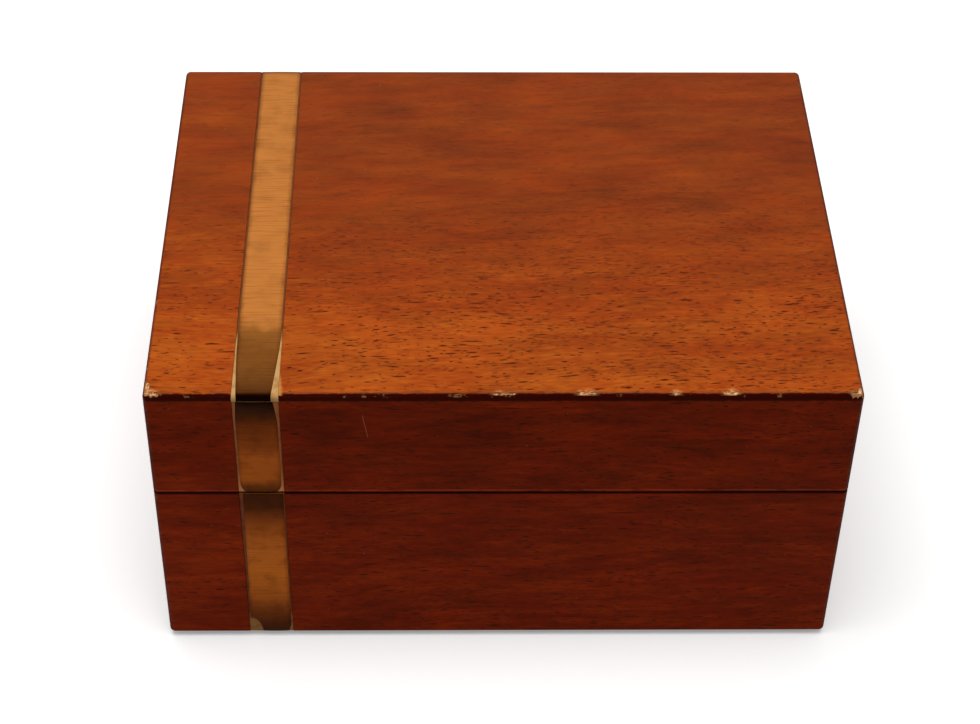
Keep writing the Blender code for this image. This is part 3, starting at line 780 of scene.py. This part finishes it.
# ---------------------------------------------------------------- boards


def in_arris(point):
    """True where a point is on a rounded arris of the closed box."""
    q = [abs(point[k] - CENTRE[k]) - (HALF[k] - ARRIS) for k in range(3)]
    return sum(v > 0.001 * MM for v in q) >= 2


def close_mitres(bm, board):
    """Brings a board's mitred ends out to a hairline from its neighbours'."""
    reach = MITRE_GAP / 2 - HAIRLINE
    moves = {}
    for face in bm.faces:
        normal = face.normal
        diagonal = sorted(abs(c) for c in normal)
        is_mitre = diagonal[0] < 0.01 and diagonal[1] > 0.7
        in_groove = abs(normal.x) < 0.01 and abs(face.calc_center_median().z - SEAM) < 2 * GROOVE_REACH
        if not is_mitre or in_groove:
            continue
        if abs(normal.z) < 0.01:
            axis = "x" if "front" in board or "back" in board else "y"
        elif "panel" in board:
            axis = "x" if abs(normal.x) > 0.5 else "y"
        else:
            axis = "z"
        slide = Vector((0, 0, 0))
        setattr(slide, axis, math.copysign(reach * math.sqrt(2), getattr(normal, axis)))
        for vert in face.verts:
            step = normal * reach if in_arris(vert.co) else slide
            key = tuple(round(c) for c in normal)
            moves.setdefault(vert, {})[key] = step
    for vert, steps in moves.items():
        for step in steps.values():
            vert.co += step


def on_rim(edge):
    """True for an outer edge along the seam."""
    near = 0.01 * MM
    for vert in edge.verts:
        on_end = abs(abs(vert.co.x - CENTRE.x) - HALF.x) < near
        on_front_or_back = abs(abs(vert.co.y - CENTRE.y) - HALF.y) < near
        at_seam = min(abs(vert.co.z - BASE_RIM), abs(vert.co.z - LID_RIM)) < near
        if not (at_seam and (on_end or on_front_or_back)):
            return False
    return True


CHIP_VOXEL = 0.07 * MM


def add_flake(bm, place, size, rng):
    """Adds a rough pebble that bites a flake out of an edge."""
    made = bmesh.ops.create_icosphere(bm, subdivisions=3, radius=1)
    shift = Vector((rng.uniform(0, 50), rng.uniform(0, 50), rng.uniform(0, 50)))
    for vert in made["verts"]:
        vert.co *= 1 + 0.36 * noise.fractal(vert.co * 1.9 + shift, 0.9, 2.2, 4)
    turn = Matrix.Rotation(rng.uniform(-0.5, 0.5), 4, "Z") @ Matrix.Rotation(rng.uniform(-0.4, 0.4), 4, "Y")
    placed = Matrix.Translation(place) @ turn @ Matrix.Diagonal((*size, 1))
    bmesh.ops.transform(bm, matrix=placed, verts=made["verts"])


def make_chip_cutter():
    """All the flakes of every knock as one closed cutter, scattered along the edge, larger ones mid-knock."""
    rng = random.Random(11)
    bm = bmesh.new()
    for start, end, onto_top, down_side, flakes in CHIPS:
        start, end = Vector((*start, TOP / MM)), Vector((*end, TOP / MM))
        length = (end - start).length
        direction = (end - start).normalized()
        inward = Vector((0, 1, 0)) if direction.x else Vector((-math.copysign(1, start.x), 0, 0))
        for number in range(flakes):
            share = (number + 0.5) / flakes
            big = rng.uniform(0.45, 1.0) * (1 - abs(share - 0.5))
            place = start + direction * (share * length + rng.uniform(-0.2, 0.2))
            place += inward * (0.40 + rng.uniform(-0.1, 0.35) * onto_top)
            place.z -= rng.uniform(-0.1, 0.35) * down_side
            half = length / flakes * rng.uniform(0.6, 1.3)
            size = Vector((half, onto_top * big + 0.22, down_side * big + 0.20))
            if direction.y:
                size.x, size.y = size.y, size.x
            add_flake(bm, place * MM, size * MM, rng)
    mesh = bpy.data.meshes.new("chips")
    bm.to_mesh(mesh)
    bm.free()
    cutter = bpy.data.objects.new("chips", mesh)
    bpy.context.scene.collection.objects.link(cutter)
    whole = cutter.modifiers.new("one_skin", "REMESH")
    whole.mode = "VOXEL"
    whole.voxel_size = CHIP_VOXEL
    bpy.context.view_layer.update()
    bake_modifiers(cutter)
    return cutter


def bake_modifiers(piece):
    """Puts the evaluated mesh in the piece's place."""
    evaluated = piece.evaluated_get(bpy.context.evaluated_depsgraph_get())
    mesh = bpy.data.meshes.new_from_object(evaluated)
    piece.modifiers.clear()
    piece.data = mesh


def cut_chips(piece, cutter):
    cut = piece.modifiers.new("chips", "BOOLEAN")
    cut.operation = "DIFFERENCE"
    cut.object = cutter
    cut.solver = "EXACT"
    bpy.context.view_layer.update()
    bake_modifiers(piece)


# Dark stains in the front's figure: middle, reach along and across, and strength
FRONT_STAINS = (
    ((53.6, 49.8), (2.6, 1.5), 0.16),
    ((-33.0, 29.0), (4.5, 0.6), 0.14),
    ((37.0, 58.0), (9.0, 1.6), 0.07),
    ((5.0, 12.0), (14.0, 2.2), 0.06),
)


TOP_FIGURE = (0.36, 0.17, 0.19, 0.34, 0.28)
SIDE_FIGURE = (0.46, 0.26, 0.40, 0.34, 0.18)
# Partly figure, partly painted light and shade: the top lighter towards the front, where the overhead light
# falls, and the walls darker upwards, away from the floor's bounced light.
TOP_LIGHT_TREND = ("y", -48.0, 15.0, 0.56, 0.385)
SIDE_SHADE_TREND = ("z", 10.0, 66.0, 0.525, 0.40)
TOP_CRISPNESS = ("y", -30.0, 18.0, 1.0, 0.32)
SIDE_CRISPNESS = ("z", 0.0, 66.0, 0.85, 0.85)
CHIPPED_BOARDS = ("lid_top_panel", "lid_front_wall", "lid_left_wall", "lid_right_wall")


def make_boards():
    top = (TOP_TONES, TOP_FIGURE, TOP_LIGHT_TREND, TOP_CRISPNESS)
    side = (SIDE_SHADED_TONES, SIDE_FIGURE, SIDE_SHADE_TREND, SIDE_CRISPNESS)
    veneers = {
        "top": mahogany("veneer_top", "x", "y", *top, 0.12),
        "front": mahogany("veneer_front", "x", "z", *side, -0.55, FRONT_STAINS),
        "back": mahogany("veneer_back", "x", "z", *side, 0.2),
        "ends": mahogany("veneer_ends", "y", "z", *side, 0.2),
    }
    cutter = make_chip_cutter()
    for part in ("base", "lid"):
        make_board(f"{part}_front_wall", veneers["front"], cutter)
        make_board(f"{part}_back_wall", veneers["back"], cutter)
        make_board(f"{part}_left_wall", veneers["ends"], cutter)
        make_board(f"{part}_right_wall", veneers["ends"], cutter)
    make_board("lid_top_panel", veneers["top"], cutter)
    bpy.data.objects.remove(cutter)


def make_board(node, veneer, cutter):
    bm = mesh_of(node)
    close_mitres(bm, node)
    round_edges(bm, RIM_ROUNDING, segments=3, chosen=on_rim)
    board = new_piece(f"{node}_veneered", bm, veneer, body_of(node), [node])
    if node in CHIPPED_BOARDS:
        cut_chips(board, cutter)
    shade(board)


# ---------------------------------------------------------------- brass band

AMBER = (0.87, 0.315, 0.064)
BROWN = (0.50, 0.180, 0.028)
UMBER = (0.285, 0.100, 0.016)
# Near-black at the strips' ends: dark patina and painted dark reflection, where the rounded ends would
# otherwise catch the light.
NEAR_BLACK = (0.012, 0.003, 0.001)
# How the patina changes along the strips, in mm: along Y on the top, along Z on the front and back
# Patina and painted reflection together: the dark and bright stretches are painted where each strip would
# reflect darker or brighter surroundings.
TOP_PATINA_AND_REFLECTION = (
    (-50.2, NEAR_BLACK), (-49.35, (0.016, 0.004, 0.001)), (-49.1, (0.15, 0.044, 0.007)),
    (-48.0, (0.20, 0.062, 0.010)), (-45.0, UMBER), (-38.0, (0.38, 0.128, 0.020)),
    (-33.0, (0.46, 0.165, 0.028)), (-29.5, AMBER), (48.0, AMBER), (49.5, BROWN), (50.5, NEAR_BLACK),
)
LID_PATINA_AND_REFLECTION = (
    (41.0, (0.11, 0.024, 0.003)), (43.0, (0.26, 0.065, 0.009)), (44.5, (0.56, 0.135, 0.016)),
    (50.0, (0.57, 0.138, 0.018)), (53.0, (0.36, 0.080, 0.012)), (58.0, (0.24, 0.048, 0.007)),
    (61.0, (0.09, 0.024, 0.005)), (63.2, (0.04, 0.012, 0.005)), (64.3, NEAR_BLACK),
)
BASE_PATINA_AND_REFLECTION = (
    (1.0, (0.10, 0.030, 0.008)), (4.0, (0.16, 0.038, 0.009)), (8.0, (0.34, 0.078, 0.012)),
    (12.0, (0.66, 0.172, 0.022)), (18.0, (0.78, 0.215, 0.026)), (25.0, (0.74, 0.198, 0.026)),
    (30.0, (0.56, 0.140, 0.018)), (33.5, (0.34, 0.075, 0.012)), (37.0, (0.11, 0.026, 0.005)),
    (41.0, (0.09, 0.021, 0.004)),
)
# The bedding beside the strips is pale where the brass has shrunk back, and dark with old glue elsewhere. On
# the top, though, the pale stretch near the front edge is painted reflection: it stands in for pale glints off
# the band's rolled edges there.
# Pale cream: on the top it is painted reflection, the pale glints off the band's rolled edges near the front.
PALE = (0.52, 0.300, 0.108)
TAN = (0.34, 0.108, 0.030)
GLUE = (0.16, 0.050, 0.013)
BACK_GLUE = (0.10, 0.022, 0.005)
TOP_BED = ((-50.5, (0.45, 0.25, 0.09)), (-49.0, PALE), (-36.0, PALE), (-32.0, GLUE), (50.0, GLUE))
LID_BED = (
    (41.0, (0.62, 0.25, 0.085)), (44.5, (0.42, 0.15, 0.045)), (47.0, (0.32, 0.10, 0.026)),
    (60.0, TAN), (65.0, TAN),
)
BASE_BED = (
    (1.0, (0.36, 0.165, 0.042)), (5.5, (0.34, 0.14, 0.038)), (7.5, (0.20, 0.050, 0.010)),
    (41.0, (0.20, 0.042, 0.008)),
)
BACK_BED = ((1.0, BACK_GLUE), (65.0, BACK_GLUE))

STRIP_STEPS = 90
FACE_STEPS = 8
STRIP_THICKNESS = 1.42 * MM
STRIP_CROWN = 0.035 * MM
STRIP_EDGE = 0.10 * MM
STRIP_SHARP = math.radians(50)
# A strip's rounded long edges: share of STRIP_EDGE in from the side, and height
EDGE_ROUNDING = ((0.0, -0.16 * MM), (0.3, -0.06 * MM), (1.0, -0.02 * MM))
# The bed is thicker than the strip, lies below its face and is wider on both sides
BED_THICKNESS = 1.45 * MM
BED_SUNK = 0.07 * MM
BED_WIDER = 0.27 * MM


def rounded_drop(distance, radius):
    """How far a rounded end has fallen at a distance from its tip."""
    if distance >= radius:
        return 0.0
    return radius - math.sqrt(max(0.0, radius**2 - (radius - distance) ** 2))


def strip_profile(left, right, thickness):
    """A strip's section as (across, height) points: a square back, rounded long edges and a crowned face."""
    near = [(left + share * STRIP_EDGE, height) for share, height in EDGE_ROUNDING]
    far = [(right - share * STRIP_EDGE, height) for share, height in reversed(EDGE_ROUNDING)]
    face_width = right - left - 2 * STRIP_EDGE
    face_edge = EDGE_ROUNDING[-1][1]
    face = []
    for number in range(1, FACE_STEPS):
        share = number / FACE_STEPS
        rise = math.sin(math.pi * share)
        face.append((left + STRIP_EDGE + face_width * share, STRIP_CROWN * rise + face_edge * (1 - rise)))
    return [(left, -thickness), *near, *face, *far, (right, -thickness)]


def make_strip(
    name, node, side, span, end_radii, insets, material, slot, thickness, sunk=0.0, wider=0.0, stands_for=()
):
    """A strip let into a board. Its outline narrows by insets, its face is crowned, its ends are rounded."""
    low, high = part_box(node)
    left, right = low.x - wider, high.x + wider
    surface = {"top": TOP, "front": FRONT, "back": BACK}[side]

    def place(across, along, height):
        if side == "top":
            return Vector((across, along, surface + height))
        return Vector((across, surface + (height if side == "back" else -height), along))

    bm = bmesh.new()
    rings = []
    for number in range(STRIP_STEPS + 1):
        share = (1 - math.cos(math.pi * number / STRIP_STEPS)) / 2
        along = span[0] + (span[1] - span[0]) * share
        drop = rounded_drop(along - span[0], end_radii[0]) + rounded_drop(span[1] - along, end_radii[1])
        near, far = insets(along)
        ring = []
        for across, height in strip_profile(left + near, right - far, thickness):
            ring.append(bm.verts.new(place(across, along, max(height - drop - sunk, -thickness))))
        rings.append(ring)
    count = len(rings[0])
    for first, second in zip(rings, rings[1:]):
        for k in range(count):
            bm.faces.new((first[k], first[(k + 1) % count], second[(k + 1) % count], second[k]))
    bm.faces.new(rings[0])
    bm.faces.new(list(reversed(rings[-1])))
    bmesh.ops.recalc_face_normals(bm, faces=bm.faces[:])
    piece = new_piece(name, bm, material, body_of(node), stands_for)
    piece.data.shade_smooth()
    piece.data.set_sharp_from_angle(angle=STRIP_SHARP)


def taper(distance, length, width):
    """Width at the tip that shrinks to nothing over a length."""
    return width * max(0.0, 1 - distance / length) ** 1.15


def top_insets(along):
    from_front = along - FRONT
    return taper(from_front, 13 * MM, 0.55 * MM), taper(from_front, 14.5 * MM, 1.10 * MM)


def lid_front_insets(along):
    from_top, from_seam = TOP - along, along - LID_RIM
    both = 0.16 * MM + rounded_drop(from_seam, 2.6 * MM) * 0.5
    return both + taper(from_top, 6 * MM, 0.35 * MM), both + taper(from_top, 7 * MM, 0.85 * MM)


def base_front_insets(along):
    from_foot = along - WOOD_BOTTOM
    broken = 2.3 * MM * math.sqrt(max(0.0, 1 - (from_foot / (4.6 * MM)) ** 2))
    leaning = 0.45 * MM * from_foot / (BASE_RIM - WOOD_BOTTOM)
    return max(broken, leaning), taper(from_foot, 2.6 * MM, 0.7 * MM)


def no_insets(along):
    return 0.0, 0.0


def make_band():
    lid_strip_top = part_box("lid_top_band")[0].z - HAIRLINE
    top = (FRONT, BACK)
    lid_front, lid_back = (LID_RIM, lid_strip_top), (SEAM + GROOVE_REACH, lid_strip_top)
    base_front, base_back = (WOOD_BOTTOM, BASE_RIM), (WOOD_BOTTOM, SEAM - GROOVE_REACH)
    square, soft = 0.02 * MM, 0.2 * MM
    lid_ends, base_ends = (soft, square), (ARRIS, soft)
    strips = (
        ("lid_top_band", "top", top, (ARRIS, ARRIS), top_insets, TOP_PATINA_AND_REFLECTION, TOP_BED, 0.12),
        ("lid_front_band", "front", lid_front, lid_ends, lid_front_insets, LID_PATINA_AND_REFLECTION, LID_BED, 0.28),
        ("base_front_band", "front", base_front, base_ends, base_front_insets, BASE_PATINA_AND_REFLECTION, BASE_BED, 0.3),
        ("lid_back_band", "back", lid_back, lid_ends, no_insets, LID_PATINA_AND_REFLECTION, BACK_BED, 0.28),
        ("base_back_band", "back", base_back, base_ends, no_insets, BASE_PATINA_AND_REFLECTION, BACK_BED, 0.3),
    )
    for node, side, span, end_radii, insets, tones, bed_tones, blotches in strips:
        axis = "y" if side == "top" else "z"
        metal = brass(f"brass_{node}", tones, axis, blotches)
        wood = bedding(f"bedding_{node}", bed_tones, axis)
        run = (node, side, span, end_radii)
        make_strip(f"{node}_strip", *run, insets, metal, "brass_band", STRIP_THICKNESS, stands_for=[node])
        make_strip(f"{node}_bed", *run, no_insets, wood, "hardwood", BED_THICKNESS, BED_SUNK, BED_WIDER)


# ---------------------------------------------------------------- hinges, lock and bottom panel


SCREW_ROUNDING = 0.05 * MM
LEAF_ROUNDING = 0.08 * MM
PIN_ROUNDING = 0.25 * MM
DOWEL_ROUNDING = 0.3 * MM
PANEL_ROUNDING = 0.2 * MM


def make_fitting(node, suffix, material, width, segments=2):
    """A CAD piece with its edges rounded."""
    bm = mesh_of(node)
    round_edges(bm, width, segments=segments)
    shade(new_piece(f"{node}_{suffix}", bm, material, body_of(node), [node]))


def make_hardware():
    bright = hardware_brass("brass_hardware")
    for node in sorted(NODES):
        if slot_of(node) == "brass_hardware":
            make_fitting(node, "finished", bright, SCREW_ROUNDING if "screw" in node else LEAF_ROUNDING)
    ground = steel("ground_steel")
    for side in ("left", "right"):
        make_fitting(f"lock_pin_{side}", "turned", ground, PIN_ROUNDING, segments=3)
        make_fitting(f"lock_dowel_{side}", "plug", pale_wood(f"dowel_wood_{side}"), DOWEL_ROUNDING)


# ---------------------------------------------------------------- lining and felt


def box_grid(low, high, cell):
    """A closed box whose faces are split into cells of about a size."""
    bm = bmesh.new()
    bmesh.ops.create_cube(bm, size=1)
    size = high - low
    for axis in range(3):
        cuts = max(0, round(size[axis] / cell) - 1)
        if not cuts:
            continue
        edges = [e for e in bm.edges if abs((e.verts[0].co - e.verts[1].co)[axis]) > 0.5]
        bmesh.ops.subdivide_edges(bm, edges=edges, cuts=cuts, use_grid_fill=True)
    placed = Matrix.Translation((low + high) / 2) @ Matrix.Diagonal((*size, 1))
    bmesh.ops.transform(bm, matrix=placed, verts=bm.verts[:])
    return bm


# The cells that cards, pads and the felt are split into, and how far a card's or the felt's edges are rounded
CARD_CELL = 2.5 * MM
PAD_CELL = 2.4 * MM
CARD_ROUNDING = 0.55 * MM
FELT_ROUNDING = 0.15 * MM


def make_card(node, cloth):
    """A velvet-covered card: soft rounded edges and a slightly uneven face."""
    low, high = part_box(node)
    bm = box_grid(low, high, CARD_CELL)
    round_edges(bm, CARD_ROUNDING, segments=4)
    for vert in bm.verts:
        vert.co += vert.normal * 0.05 * MM * noise.noise(vert.co * 160)
    card = new_piece(f"{node}_velvet", bm, cloth, body_of(node), [node])
    shade(card)


# How far a pad's cover swells towards the cards around it, the most that its face rises, and how far in from
# its edge it is free to rise that much
PAD_GROWTH = 0.24 * MM
PAD_CROWN = 0.9 * MM
PAD_EDGE = 9 * MM
PUFF_FRAMES = 20


def make_pad(node, cloth, faces_up):
    """A wadded pad: a cloth simulation crowns its open face. Its edge stays tucked in and its back flat."""
    low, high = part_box(node)
    grow = Vector((PAD_GROWTH, PAD_GROWTH, 0))
    low, high = low - grow, high + grow
    bm = box_grid(low, high, PAD_CELL)
    pad = new_piece(f"{node}_velvet", bm, cloth, body_of(node), [node])
    start = [v.co.copy() for v in pad.data.vertices]
    puff_up(pad, PAD_CROWN)
    back = low.z if faces_up else high.z
    for vert, first in zip(pad.data.vertices, start):
        inside = min(first.x - low.x, high.x - first.x, first.y - low.y, high.y - first.y)
        vert.co = first.lerp(vert.co, min(1.0, inside / PAD_EDGE) ** 0.5)
        if abs(first.z - back) < 0.1 * MM:
            vert.co.z = back
    soften = pad.modifiers.new("soften", "SUBSURF")
    soften.levels = soften.render_levels = 1
    pad.data.shade_smooth()


def puff_up(pad, cap):
    """Runs a short cloth simulation with pressure, and keeps each point within a cap of where it was."""
    start = [v.co.copy() for v in pad.data.vertices]
    cloth = pad.modifiers.new("cloth", "CLOTH")
    cloth.settings.quality = 6
    cloth.settings.mass = 0.2
    cloth.settings.use_pressure = True
    cloth.settings.uniform_pressure_force = 4
    cloth.settings.effector_weights.gravity = 0
    cloth.point_cache.frame_start, cloth.point_cache.frame_end = 1, PUFF_FRAMES
    scene = bpy.context.scene
    for number in range(1, PUFF_FRAMES + 1):
        scene.frame_set(number)
    bake_modifiers(pad)
    scene.frame_set(1)
    for vert, first in zip(pad.data.vertices, start):
        moved = vert.co - first
        if moved.length > cap:
            vert.co = first + moved.normalized() * cap


def make_felt(node):
    """The felt under the box: a sheet with a slightly ragged cut edge."""
    low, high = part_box(node)
    bm = box_grid(low, high, CARD_CELL)
    round_edges(bm, FELT_ROUNDING)
    for vert in bm.verts:
        from_edge = min(vert.co.x - low.x, high.x - vert.co.x, vert.co.y - low.y, high.y - vert.co.y)
        if from_edge < 0.3 * MM:
            vert.co += Vector((vert.normal.x, vert.normal.y, 0)) * 0.25 * MM * noise.noise(vert.co * 700)
    felt = new_piece(f"{node}_sheet", bm, velvet("green_felt", nap=0.2), body_of(node), [node])
    shade(felt)


def make_linings():
    cloth = velvet("green_velvet")
    for part in ("base", "lid"):
        for side in ("front", "back", "left", "right"):
            make_card(f"{part}_{side}_lining", cloth)
    make_pad("base_pad", cloth, faces_up=True)
    make_pad("lid_pad", cloth, faces_up=False)
    make_felt("base_felt")


def main():
    bpy.context.scene.view_settings.view_transform = "Standard"
    make_camera()
    make_light()
    make_floor()
    make_boards()
    make_band()
    make_hardware()
    make_linings()
    make_fitting("bottom_panel", "plywood", plywood("plywood"), PANEL_ROUNDING)


main()
